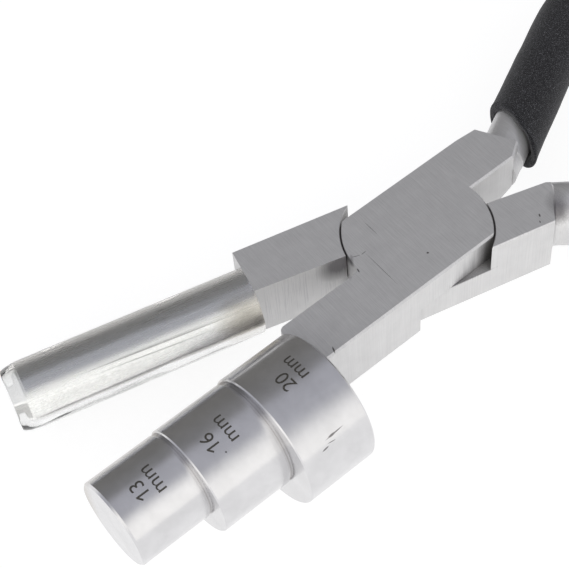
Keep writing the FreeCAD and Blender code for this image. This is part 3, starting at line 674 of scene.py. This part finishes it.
def foam(name, color):
    """Closed-cell foam: matt, near black, with a fine pale speckle."""
    material, shader = new_material(name)
    place = add_node(material, "ShaderNodeTexCoord")
    cells = add_node(material, "ShaderNodeTexVoronoi", feature="F1")
    cells.inputs["Scale"].default_value = 1 / (0.17 * MM)
    link(material, place.outputs["Object"], cells.inputs["Vector"])
    grain = stretched_noise(material, (0.3 * MM,) * 3, 0, 4.0, 0.7)
    speckle = stretched_noise(material, (0.11 * MM,) * 3, 0, 2.0, 0.6)
    colour = tint(material, ramp(material, speckle, 0.59, 0.66, 0.0, 1.0), color, FOAM_SPECK)
    link(material, colour, shader.inputs["Base Color"])
    shader.inputs["Roughness"].default_value = 0.85
    shader.inputs["Sheen Weight"].default_value = 0.25
    shader.inputs["Sheen Roughness"].default_value = 0.5
    shader.inputs["Specular IOR Level"].default_value = 0.35
    height = add_values(material, cells.outputs["Distance"], grain)
    bump(material, shader, height, 0.05 * MM, 0.9)
    return material


def etching(name, color):
    """The marks: a dark, dry etch of uneven depth."""
    material, shader = new_material(name)
    grain = stretched_noise(material, (0.15 * MM,) * 3, 0, 3.0, 0.6)
    share = ramp(material, grain, 0.35, 0.7, 0.0, 1.0)
    colour = tint(material, share, shaded(color, 0.7), shaded(color, 2.2))
    link(material, colour, shader.inputs["Base Color"])
    link(material, ramp(material, grain, 0.3, 0.7, 0.55, 0.75), shader.inputs["Roughness"])
    shader.inputs["Metallic"].default_value = 0.3
    return material


def finish_node(node, material):
    """Give a CAD node its material."""
    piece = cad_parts[node]
    if not piece.material_slots:
        piece.data.materials.append(material)
    for slot in piece.material_slots:
        slot.material = material


def keep_piece(mesh, name, material, body):
    """Turn a finished bmesh into a piece that rides on a body."""
    data = bpy.data.meshes.new(name)
    mesh.to_mesh(data)
    mesh.free()
    piece = bpy.data.objects.new(name, data)
    bpy.context.scene.collection.objects.link(piece)
    data.materials.append(material)
    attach(piece, body)
    return piece


def smooth_shade(piece, limit):
    """Smooth shading with hard edges where faces meet at more than the limit."""
    for face in piece.data.polygons:
        face.use_smooth = True
    piece.data.set_sharp_from_angle(angle=limit)


class PLIERS_OT_levers(bpy.types.Operator):
    """Finish the two levers and the rivet"""

    bl_idname = "pliers.levers"
    bl_label = "Levers and rivet"

    def execute(self, context):
        steel = context.scene.pliers_steel
        color, depth = steel.lever_color, steel.scratch_depth
        upper = ground_steel("stepped_lever_steel", SPREAD, color, depth, STEPPED_MARKS_AND_SHADE)
        lower = ground_steel("plain_lever_steel", -SPREAD, color, depth, PLAIN_MARKS_AND_SHADE)
        finish_node("stepped_lever", upper)
        finish_node("pivot_rivet", upper)
        finish_node("plain_lever", lower)
        return {"FINISHED"}


class PLIERS_OT_barrel(bpy.types.Operator):
    """Finish the stepped barrel"""

    bl_idname = "pliers.barrel"
    bl_label = "Stepped barrel"

    def execute(self, context):
        steel = context.scene.pliers_steel
        finish_node("stepped_barrel", turned_steel("barrel_steel", steel.barrel_color, steel.scratch_depth))
        return {"FINISHED"}


def sleeve_bore(turn, along):
    """Radius of the sleeve's bore: it clings to the rod, except in long patches on one side."""
    place = Vector((along / PATCH_LENGTH, 1.6 * math.cos(turn), 1.6 * math.sin(turn)))
    side = max(0, -math.cos(turn - CLINGING_SIDE))
    patch = noise.noise(place + PATCH_SEED) + 1.1 * side - PATCH_SHARE
    return ROD_RADIUS + min(max(patch * PATCH_DEPTH, BORE_TIGHTEST), BORE_LOOSEST)


def spin_section(section, closed, steps):
    """A tube round the X axis from its section, an open or closed line of distance along and radius."""
    mesh = bmesh.new()
    profile = [mesh.verts.new((along, radius, 0)) for along, radius in section]
    edges = [mesh.edges.new(pair) for pair in zip(profile, profile[1:])]
    if closed:
        edges.append(mesh.edges.new((profile[-1], profile[0])))
    bmesh.ops.spin(
        mesh, geom=profile + edges, cent=(0, 0, 0), axis=(1, 0, 0), dvec=(0, 0, 0),
        angle=math.tau, steps=steps, use_merge=True, use_duplicate=False)
    bmesh.ops.remove_doubles(mesh, verts=mesh.verts, dist=0.001 * MM)
    return mesh


def make_sleeve(material):
    """The clear tube: a tapered tip, a straight outside, and a bore that clings to the rod in places."""
    outside = [(along, SLEEVE_RADIUS - less) for along, less in SLEEVE_TIP]
    outside.append((SLEEVE_LENGTH, SLEEVE_RADIUS))
    rings = range(SLEEVE_ALONG, -1, -1)
    inside = [(SLEEVE_LENGTH * ring / SLEEVE_ALONG, ROD_RADIUS) for ring in rings]
    mesh = spin_section(outside + inside, True, SLEEVE_AROUND)
    for vertex in mesh.verts:
        along, across, up = vertex.co
        if math.hypot(across, up) < ROD_RADIUS + 0.1 * MM:
            turn = math.atan2(up, across)
            radius = sleeve_bore(turn, along)
            across, up = radius * math.cos(turn), radius * math.sin(turn)
        vertex.co = PLAIN_HALF @ Vector((SLEEVE_FACE + along, ROD_AXIS + across, MID_HEIGHT + up))
    bmesh.ops.recalc_face_normals(mesh, faces=mesh.faces)
    piece = keep_piece(mesh, "jaw_sleeve_tube", material, "plain_half")
    smooth_shade(piece, math.radians(30))
    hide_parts("jaw_sleeve")


class PLIERS_OT_round_jaw(bpy.types.Operator):
    """Finish the steel rod and its clear sleeve"""

    bl_idname = "pliers.round_jaw"
    bl_label = "Round jaw and sleeve"

    def execute(self, context):
        steel = context.scene.pliers_steel
        finish_node("round_jaw", polished_steel("rod_steel", steel.rod_color))
        make_sleeve(clear_plastic("clear_sleeve"))
        return {"FINISHED"}


def grip_section(length, flare):
    """Distance along and radius of the grip's section: bore, mouth, rim, skin, rounded end, bore."""
    section = [
        (BORE_FROM_MOUTH, GRIP_BORE),
        (MOUTH_DEPTH + MOUTH_SHOULDER, GRIP_BORE),
        (MOUTH_DEPTH, MOUTH_RADIUS),
        (MOUTH_CHAMFER[0], MOUTH_RADIUS),
        (0.0, MOUTH_RADIUS + MOUTH_CHAMFER[1]),
    ]
    for step in range(RIM_STEPS + 1):
        turn = math.pi / 2 * step / RIM_STEPS
        section.append((
            RIM_ROUND * (1 - math.cos(turn)),
            GRIP_RADIUS + flare - RIM_ROUND * (1 - math.sin(turn)),
        ))
    rings = int(length / RING_STEP)
    for ring in range(1, rings):
        along = RIM_ROUND + (length - SKIN_SHORTER) * ring / rings
        section.append((along, GRIP_RADIUS + flare * math.exp(-along / FLARE_REACH)))
    for step in range(END_STEPS + 1):
        turn = math.pi / 2 * step / END_STEPS
        section.append((
            length - END_ROUND * (1 - math.sin(turn)),
            GRIP_RADIUS - END_ROUND * (1 - math.cos(turn)),
        ))
    return section + [(length, GRIP_BORE), (length - BORE_FROM_END, GRIP_BORE)]


def bend_to_handle(point, start):
    """Carry a point of a straight tube along X onto the handle's line in the half's own frame."""
    along, across, up = point
    along += start - BEND_START
    bow = BEND_RADIUS * BEND_TURN
    turn = min(max(along / BEND_RADIUS, 0), BEND_TURN)
    rest = min(along, 0) + max(along - bow, 0)
    s = BEND_START + (BEND_RADIUS + across) * math.sin(turn) + rest * math.cos(turn)
    n = (BEND_RADIUS + across) * math.cos(turn) - BEND_RADIUS - rest * math.sin(turn)
    forward = Vector((math.cos(TANG_ANGLE), math.sin(TANG_ANGLE), 0))
    side = Vector((-math.sin(TANG_ANGLE), math.cos(TANG_ANGLE), 0))
    return TANG_POINT + forward * s + side * n + Vector((0, 0, MID_HEIGHT + up))


def eased(value, reach):
    """0 before a reach and 1 after it, with soft ends."""
    share = min(max((value - reach[0]) / (reach[1] - reach[0]), 0), 1)
    return share * share * (3 - 2 * share)


def on_skin(vertex):
    """Whether a point of the straight tube lies outside its bore."""
    return math.hypot(vertex.co.y, vertex.co.z) >= TANG_RADIUS + 0.1 * MM


def rippled(place, shift, wave):
    """The height of a wave at a place."""
    size, height = wave
    return noise.noise(place / size + shift) * height


def ragged_skin(vertex, shift):
    """Soft waves over the skin, and a rougher edge at the cut rim."""
    radius = math.hypot(vertex.co.y, vertex.co.z)
    rise = rippled(vertex.co, shift, SKIN_WAVE) + rippled(vertex.co, shift, SKIN_GRAIN)
    vertex.co.y *= 1 + rise / radius
    vertex.co.z *= 1 + rise / radius
    if vertex.co.x < RIM_DEPTH:
        vertex.co.x += rippled(vertex.co, shift, RIM_WAVE)


def stand_off(vertex, start):
    """Let the skin run on straight for a while where the tang in it starts its bow."""
    along = start + vertex.co.x
    vertex.co.y += SKIN_STAND_OFF * (eased(along, SKIN_LEAVES) - eased(along, SKIN_RETURNS))


def slant_mouth(vertex):
    """Shear the first part of the tube, so that its mouth is cut on the slant."""
    vertex.co.x += MOUTH_SLANT * vertex.co.y * max(0, 1 - max(vertex.co.x, 0) / SLANT_REACH)


def make_grip(node, body, half, material, flare, seed):
    """A foam tube with a slanted, slightly ragged mouth, bent along its handle."""
    start = GRIP_STARTS[node]
    mesh = spin_section(grip_section(BEND_START - start + GRIP_BEHIND, flare), False, GRIP_AROUND)
    shift = Vector((seed * 7.3, seed * 3.1, seed * 5.7))
    for vertex in mesh.verts:
        if on_skin(vertex):
            ragged_skin(vertex, shift)
            stand_off(vertex, start)
        slant_mouth(vertex)
        vertex.co = half @ bend_to_handle(vertex.co, start)
    bmesh.ops.recalc_face_normals(mesh, faces=mesh.faces)
    piece = keep_piece(mesh, node + "_foam", material, body)
    smooth_shade(piece, math.radians(60))
    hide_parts(node)


class PLIERS_OT_grips(bpy.types.Operator):
    """Make the two foam grips"""

    bl_idname = "pliers.grips"
    bl_label = "Foam grips"

    def execute(self, context):
        grips = context.scene.pliers_grips
        material = foam("grip_foam", grips.foam_color)
        make_grip("stepped_grip", "stepped_half", STEPPED_HALF, material, grips.rim_flare, 1)
        make_grip("plain_grip", "plain_half", PLAIN_HALF, material, grips.rim_flare, 2)
        return {"FINISHED"}


def letters(text, height):
    """A flat mesh of a text, its capital height set, centred on the origin."""
    curve = bpy.data.curves.new("mark", "FONT")
    curve.body = text.removeprefix("1")
    curve.align_x = "CENTER"
    curve.resolution_u = 6
    source = bpy.data.objects.new("mark", curve)
    bpy.context.scene.collection.objects.link(source)
    bpy.context.view_layer.update()
    data = bpy.data.meshes.new_from_object(source.evaluated_get(bpy.context.evaluated_depsgraph_get()))
    bpy.data.objects.remove(source)
    mesh = bmesh.new()
    mesh.from_mesh(data)
    bpy.data.meshes.remove(data)
    bmesh.ops.scale(mesh, vec=(height / FONT_CAPITAL,) * 3, verts=mesh.verts)
    heights = [vertex.co.y for vertex in mesh.verts]
    if text.startswith("1"):
        tall = max(heights) - min(heights)
        outline = [Vector((x * tall, min(heights) + y * tall, 0)) for x, y in FIGURE_ONE]
        mesh.faces.new([mesh.verts.new(corner) for corner in outline])
        bmesh.ops.translate(mesh, vec=(ONE_SHIFT * tall, 0, 0), verts=mesh.verts)
    bmesh.ops.translate(mesh, vec=(0, -(min(heights) + max(heights)) / 2, 0), verts=mesh.verts)
    return mesh


def wrap_mark(mesh, radius, around, along):
    """Lay a flat mark round a step: it reads towards the inner side, its top to the tip."""
    width = max(abs(vertex.co.x) for vertex in mesh.verts)
    cuts = int(2 * width / MARK_CUT) + 1
    for cut in range(1, cuts):
        place = -width + 2 * width * cut / cuts
        geometry = mesh.verts[:] + mesh.edges[:] + mesh.faces[:]
        bmesh.ops.bisect_plane(mesh, geom=geometry, plane_co=(place, 0, 0), plane_no=(1, 0, 0))
    for vertex in mesh.verts:
        turn = around - vertex.co.x / radius
        vertex.co = Vector((along - vertex.co.y, radius * math.cos(turn), radius * math.sin(turn)))


def make_marks(material, height):
    """The two lines of each step's mark: the number nearer the tip, mm behind it."""
    for text, step, along, turn in WORDS:
        number, radius, across, face = STEPS[step]
        mesh = letters(text, height)
        wrap_mark(mesh, radius + MARK_LIFT, math.radians(turn), face + along)
        bmesh.ops.translate(mesh, vec=(0, across, MID_HEIGHT), verts=mesh.verts)
        bmesh.ops.transform(mesh, matrix=STEPPED_HALF, verts=mesh.verts)
        keep_piece(mesh, "mark_%s_%s" % (number, text), material, "stepped_half")


class PLIERS_OT_marks(bpy.types.Operator):
    """Etch the size of each step"""

    bl_idname = "pliers.marks"
    bl_label = "Etched sizes"

    def execute(self, context):
        marks = context.scene.pliers_marks
        make_marks(etching("etched_marks", marks.ink_color), marks.letter_height)
        return {"FINISHED"}


def make_camera(context):
    """The photograph's own view."""
    azimuth, elevation = CAMERA_AZIMUTH, CAMERA_ELEVATION
    back = Vector((
        math.sin(azimuth) * math.cos(elevation),
        -math.cos(azimuth) * math.cos(elevation),
        math.sin(elevation),
    ))
    right = Vector((math.cos(azimuth), math.sin(azimuth), 0))
    up = back.cross(right)
    turned_right = right * math.cos(CAMERA_ROLL) + up * math.sin(CAMERA_ROLL)
    turned_up = up * math.cos(CAMERA_ROLL) - right * math.sin(CAMERA_ROLL)
    camera = bpy.data.objects.new("camera", bpy.data.cameras.new("camera"))
    context.scene.collection.objects.link(camera)
    camera.data.sensor_width = SENSOR_WIDTH
    camera.data.lens = FOCAL_PIXELS / IMAGE_WIDTH * SENSOR_WIDTH
    camera.data.clip_start = CLIP_START
    camera.data.clip_end = CLIP_END
    columns = Matrix((turned_right, turned_up, back)).transposed().to_4x4()
    camera.matrix_world = Matrix.Translation(CAMERA_TARGET + back * CAMERA_DISTANCE) @ columns
    context.scene.camera = camera


def seen_directly(material):
    """1 where a surface is seen, also in metal or through plastic, and 0 where it only lights others."""
    path = add_node(material, "ShaderNodeLightPath")
    rays = [path.outputs[kind] for kind in ("Is Camera Ray", "Is Glossy Ray", "Is Transmission Ray")]
    return largest(material, rays)


def plain_floor(color):
    """A matt pale floor that shows nearly white, and keeps a faint shadow."""
    material, shader = new_material("floor")
    shader.inputs["Base Color"].default_value = color
    shader.inputs["Roughness"].default_value = 0.9
    shader.inputs["Specular IOR Level"].default_value = 0.1
    glow = add_node(material, "ShaderNodeEmission")
    glow.inputs["Color"].default_value = WHITE
    glow.inputs["Strength"].default_value = FLOOR_GLOW
    blend = add_node(material, "ShaderNodeMixShader")
    share = ramp(material, seen_directly(material), 0.0, 1.0, 0.0, GLOW_SHARE)
    link(material, share, blend.inputs[0])
    link(material, shader.outputs[0], blend.inputs[1])
    link(material, glow.outputs[0], blend.inputs[2])
    link(material, blend.outputs[0], material.node_tree.nodes["Material Output"].inputs["Surface"])
    return material


def make_floor(context):
    """One flat sheet under the object."""
    mesh = bmesh.new()
    bmesh.ops.create_grid(mesh, x_segments=1, y_segments=1, size=FLOOR_REACH)
    middle = (FLOOR_BEHIND - FLOOR_REACH) * BACK_WALL + Vector((0, 0, FLOOR_HEIGHT - FLOOR_GAP))
    turn = Matrix.Rotation(math.atan2(BACK_WALL.y, BACK_WALL.x), 4, "Z")
    bmesh.ops.transform(mesh, matrix=Matrix.Translation(middle) @ turn, verts=mesh.verts)
    data = bpy.data.meshes.new("floor")
    mesh.to_mesh(data)
    mesh.free()
    data.materials.append(plain_floor(context.scene.pliers_stage.floor_color))
    floor = bpy.data.objects.new("floor", data)
    context.scene.collection.objects.link(floor)


def room_colour(world):
    """A room that is white in front of the object, grey overhead and dark behind it."""
    place = add_node(world, "ShaderNodeTexCoord")
    side = add_node(world, "ShaderNodeVectorMath", operation="DOT_PRODUCT")
    side.inputs[1].default_value = BACK_WALL / 2
    share = add_node(world, "ShaderNodeMath", operation="ADD")
    share.inputs[1].default_value = 0.5
    room = add_node(world, "ShaderNodeValToRGB")
    room.color_ramp.interpolation = "EASE"
    link(world, place.outputs["Generated"], side.inputs[0])
    link(world, side.outputs["Value"], share.inputs[0])
    link(world, share.outputs[0], room.inputs[0])
    stops = room.color_ramp.elements
    stops[0].position, stops[0].color = ROOM[0]
    stops[1].position, stops[1].color = ROOM[-1]
    for position, colour in ROOM[1:-1]:
        stops.new(position).color = colour
    return room.outputs[0]


def make_sky(context):
    """Light from the room; the camera itself sees it white."""
    world = bpy.data.worlds.new("studio")
    context.scene.world = world
    world.use_nodes = True
    background = world.node_tree.nodes["Background"]
    link(world, room_colour(world), background.inputs["Color"])
    background.inputs["Strength"].default_value = context.scene.pliers_stage.sky_strength
    plain = add_node(world, "ShaderNodeBackground")
    plain.inputs["Color"].default_value = WHITE
    path = add_node(world, "ShaderNodeLightPath")
    blend = add_node(world, "ShaderNodeMixShader")
    link(world, path.outputs["Is Camera Ray"], blend.inputs[0])
    link(world, background.outputs[0], blend.inputs[1])
    link(world, plain.outputs[0], blend.inputs[2])
    link(world, blend.outputs[0], world.node_tree.nodes["World Output"].inputs["Surface"])


class PLIERS_OT_stage(bpy.types.Operator):
    """Set the floor, the light and the camera"""

    bl_idname = "pliers.stage"
    bl_label = "Stage"

    def execute(self, context):
        context.scene.view_settings.view_transform = "Standard"
        make_floor(context)
        make_sky(context)
        make_camera(context)
        return {"FINISHED"}


class VIEW3D_PT_pliers(bpy.types.Panel):
    """Lists the pieces and their sizes and colours"""

    bl_label = "Wire wrapping pliers"
    bl_idname = "VIEW3D_PT_pliers"
    bl_space_type = "VIEW_3D"
    bl_region_type = "UI"
    bl_category = "Pliers"

    def draw(self, context):
        layout = self.layout
        for operator in OPERATORS:
            layout.operator(operator.bl_idname)
        for group in PROPERTIES:
            settings = getattr(context.scene, group)
            for name in settings.__annotations__:
                layout.prop(settings, name)


PROPERTIES = {
    "pliers_steel": PLIERS_PG_steel,
    "pliers_marks": PLIERS_PG_marks,
    "pliers_grips": PLIERS_PG_grips,
    "pliers_stage": PLIERS_PG_stage,
}

OPERATORS = (
    PLIERS_OT_levers,
    PLIERS_OT_barrel,
    PLIERS_OT_round_jaw,
    PLIERS_OT_marks,
    PLIERS_OT_grips,
    PLIERS_OT_stage,
)


def register():
    """Add the settings, the operators and the panel."""
    for name, group in PROPERTIES.items():
        bpy.utils.register_class(group)
        setattr(bpy.types.Scene, name, PointerProperty(type=group))
    for operator in OPERATORS:
        bpy.utils.register_class(operator)
    bpy.utils.register_class(VIEW3D_PT_pliers)


def unregister():
    """Take them away again."""
    bpy.utils.unregister_class(VIEW3D_PT_pliers)
    for operator in reversed(OPERATORS):
        bpy.utils.unregister_class(operator)
    for name, group in PROPERTIES.items():
        delattr(bpy.types.Scene, name)
        bpy.utils.unregister_class(group)


def main():
    """Build everything in order."""
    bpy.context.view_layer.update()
    register()
    for operator in OPERATORS:
        getattr(bpy.ops.pliers, operator.bl_idname.split(".")[1])()


if __name__ == "__main__":
    main()
